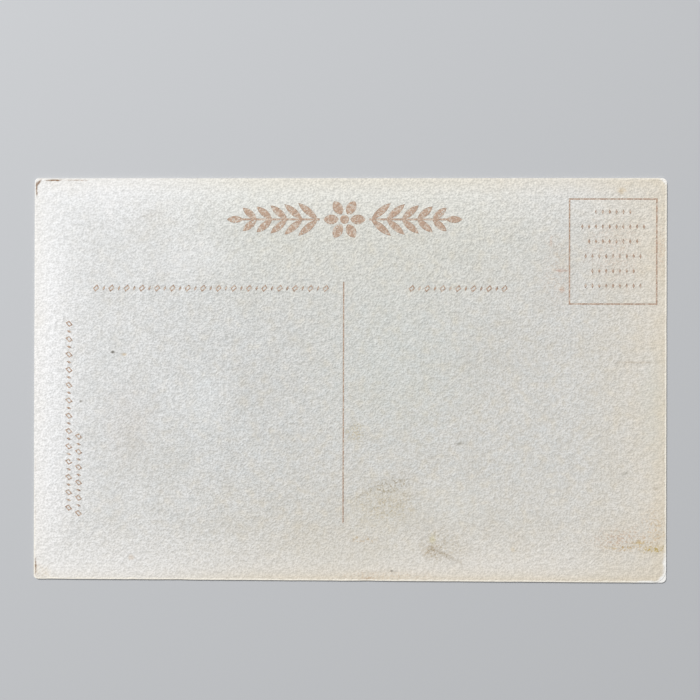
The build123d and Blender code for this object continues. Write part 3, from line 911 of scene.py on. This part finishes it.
def litho_tint(node_name, look, paper):
    """A flat litho tint: drawn in soft marks, with a stippled grain that lets the coated paper through."""
    tint_name, glow_name, stretch, mark_size, share = TINTS[node_name]
    tint = getattr(look, tint_name)
    material, tree, place = new_material("Litho ink, " + node_name.replace("_", " "))
    drawn = node(tree, "ShaderNodeMapping", {"Vector": place, "Scale": (*stretch, 1)})
    mark = {"Vector": drawn, "Scale": per(mark_size * MM), "Detail": 5.0, "Roughness": 0.6}
    marks = node(tree, "ShaderNodeTexNoise", mark)
    shade = {"Value": marks, "From Min": 0.35, "From Max": 0.7, "To Max": share}
    deep = tuple(channel * DEEP_SHARE for channel in tint[:3]) + (1.0,)
    shaded = {FACTOR: node(tree, "ShaderNodeMapRange", shade), UNDER: tint, OVER: deep}
    ink = node(tree, "ShaderNodeMix", shaded, out=MIXED, data_type="RGBA")
    if glow_name:
        # The sky pales towards the horizon
        low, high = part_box(node_name)
        up = node(tree, "ShaderNodeSeparateXYZ", {0: place}, out="Y")
        down = {"Value": up, "From Min": high.y, "From Max": low.y, "To Max": 0.9}
        down_sky = node(tree, "ShaderNodeMapRange", down, interpolation_type="SMOOTHSTEP")
        pale = {FACTOR: down_sky, UNDER: ink, OVER: getattr(look, glow_name)}
        ink = node(tree, "ShaderNodeMix", pale, out=MIXED, data_type="RGBA")
    # The stone's grain is finer than this: it is drawn coarser so that it shows
    stipple = node(tree, "ShaderNodeTexVoronoi", {"Vector": place, "Scale": per(look.grain)}, out="Distance")
    bare = {"Value": stipple, "From Min": 0.45, "From Max": 0.75, "To Max": 0.35}
    stippled = {FACTOR: node(tree, "ShaderNodeMapRange", bare), UNDER: ink, OVER: paper}
    finish = {
        "Base Color": node(tree, "ShaderNodeMix", stippled, out=MIXED, data_type="RGBA"),
        "Roughness": node(tree, "ShaderNodeMapRange", {"Value": stipple, "To Min": 0.36, "To Max": 0.52}),
        "IOR": 1.52,
        "Normal": node(tree, "ShaderNodeBump", {"Height": stipple, "Strength": 0.4, "Distance": 0.003 * MM}),
    }
    return finished(material, finish)


def dress(node_name, material):
    """Gives a solid its finish."""
    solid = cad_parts[node_name]
    solid.data.materials.clear()
    solid.data.materials.append(material)


class POSTCARD_OT_address_sheet(bpy.types.Operator):
    """Makes the felt-finished sheet that carries the message and the address"""

    bl_idname = "postcard.address_sheet"
    bl_label = "Address sheet"

    def execute(self, context):
        mesh = address_sheet_mesh(context.scene.postcard_sheet)
        mesh.materials.append(felt_paper(context.scene.postcard_paper, context.scene.postcard_sheet))
        place_piece("felt_sheet", mesh, "felt_paper", "address_sheet")
        return {"FINISHED"}


class POSTCARD_OT_brown_prints(bpy.types.Operator):
    """Lays each brown print on the tooth of the address sheet"""

    bl_idname = "postcard.brown_prints"
    bl_label = "Brown prints"

    def execute(self, context):
        face = FeltFace(context.scene.postcard_sheet)
        ink = context.scene.postcard_ink
        material = brown_ink(ink, context.scene.postcard_sheet)
        for name in PRINTS:
            mesh = draped_print_mesh(name, face, ink)
            mesh.materials.append(material)
            place_piece("printed_" + name, mesh, "brown_ink", name)
        return {"FINISHED"}


class POSTCARD_OT_board_core(bpy.types.Operator):
    """Finishes the middle sheet and the two films of paste, which show along the edges"""

    bl_idname = "postcard.board_core"
    bl_label = "Board core"

    def execute(self, context):
        look = context.scene.postcard_paper
        paste = starch_paste(look)
        dress("middle_sheet", wood_pulp(look))
        dress("upper_paste", paste)
        dress("lower_paste", paste)
        return {"FINISHED"}


class POSTCARD_OT_picture_side(bpy.types.Operator):
    """Finishes the coated sheet and the tints of its picture"""

    bl_idname = "postcard.picture_side"
    bl_label = "Picture side"

    def execute(self, context):
        paper = context.scene.postcard_paper
        dress("picture_sheet", coated_paper(paper))
        for name in TINTS:
            dress(name, litho_tint(name, context.scene.postcard_picture, paper.coated))
        return {"FINISHED"}


class POSTCARD_OT_stage(bpy.types.Operator):
    """Sets out the floor, the light and the camera"""

    bl_idname = "postcard.stage"
    bl_label = "Stage"
    FLOOR_GAP = 0.02 * MM
    SENSOR_WIDTH = 36  # of the camera, in millimetres
    NEAREST = 10 * MM  # that the camera sees

    def execute(self, context):
        stage = context.scene.postcard_stage
        self.lay_floor(stage)
        self.light(context.scene, stage)
        self.set_camera(context.scene, stage)
        return {"FINISHED"}

    def lay_floor(self, stage):
        """A plain pale floor, a hair under the card."""
        half = stage.floor_size / 2
        under = -self.FLOOR_GAP
        mesh = bpy.data.meshes.new("floor")
        corners = [(-half, -half, under), (half, -half, under), (half, half, under), (-half, half, under)]
        mesh.from_pydata(corners, [], [(0, 1, 2, 3)])
        material = new_material("Matt painted floor")[0]
        mesh.materials.append(finished(material, {"Base Color": stage.floor, "Roughness": 0.9}))
        floor = bpy.data.objects.new("floor", mesh)
        bpy.context.scene.collection.objects.link(floor)

    def light(self, scene, stage):
        """A soft panel from the upper left, and an even pale sky."""
        direction = Vector(
            (
                math.cos(stage.key_azimuth) * math.cos(stage.key_height),
                math.sin(stage.key_azimuth) * math.cos(stage.key_height),
                math.sin(stage.key_height),
            )
        )
        lamp = bpy.data.lights.new("key", "AREA")
        lamp.shape = "SQUARE"
        lamp.size = stage.key_size
        lamp.energy = stage.key_level * math.pi**2 * stage.key_distance**2 / direction.z
        key = bpy.data.objects.new("key", lamp)
        key.location = direction * stage.key_distance
        key.rotation_euler = direction.to_track_quat("Z", "Y").to_euler()
        scene.collection.objects.link(key)
        world = bpy.data.worlds.new("even sky")
        world.use_nodes = True
        tree = world.node_tree
        tree.nodes.clear()
        sky = node(tree, "ShaderNodeBackground", {"Color": (1, 1, 1, 1), "Strength": stage.fill_level})
        node(tree, "ShaderNodeOutputWorld", {"Surface": sky})
        scene.world = world
        scene.view_settings.view_transform = "Standard"

    def set_camera(self, scene, stage):
        """Straight over the card, a little turned, as it was photographed."""
        data = bpy.data.cameras.new("over the card")
        data.lens = stage.lens
        data.sensor_width = self.SENSOR_WIDTH
        data.clip_start = self.NEAREST
        camera = bpy.data.objects.new("camera", data)
        camera.location = (stage.camera_x, stage.camera_y, stage.camera_z)
        camera.rotation_euler = Euler((stage.tilt_x, stage.tilt_y, stage.roll))
        scene.collection.objects.link(camera)
        scene.camera = camera


class POSTCARD_PT_panel(bpy.types.Panel):
    """Lists the postcard's settings and steps"""

    bl_idname = "POSTCARD_PT_panel"
    bl_label = "Postcard"
    bl_space_type = "VIEW_3D"
    bl_region_type = "UI"
    bl_category = "Postcard"

    def draw(self, context):
        for operator in OPERATORS:
            self.layout.operator(operator.bl_idname)
        for name, group in GROUPS.items():
            box = self.layout.box()
            box.label(text=group.__doc__)
            for setting in group.__annotations__:
                box.prop(getattr(context.scene, name), setting)


GROUPS = {
    "postcard_sheet": PostcardSheet,
    "postcard_paper": PostcardPaper,
    "postcard_ink": PostcardInk,
    "postcard_picture": PostcardPicture,
    "postcard_stage": PostcardStage,
}
OPERATORS = (
    POSTCARD_OT_address_sheet,
    POSTCARD_OT_brown_prints,
    POSTCARD_OT_board_core,
    POSTCARD_OT_picture_side,
    POSTCARD_OT_stage,
)


def register():
    for name, group in GROUPS.items():
        bpy.utils.register_class(group)
        setattr(bpy.types.Scene, name, PointerProperty(type=group))
    for operator in OPERATORS:
        bpy.utils.register_class(operator)
    bpy.utils.register_class(POSTCARD_PT_panel)


def unregister():
    bpy.utils.unregister_class(POSTCARD_PT_panel)
    for operator in reversed(OPERATORS):
        bpy.utils.unregister_class(operator)
    for name, group in reversed(GROUPS.items()):
        delattr(bpy.types.Scene, name)
        bpy.utils.unregister_class(group)


def main():
    register()
    bpy.ops.postcard.address_sheet()
    bpy.ops.postcard.brown_prints()
    bpy.ops.postcard.board_core()
    bpy.ops.postcard.picture_side()
    bpy.ops.postcard.stage()


if __name__ == "__main__":
    main()
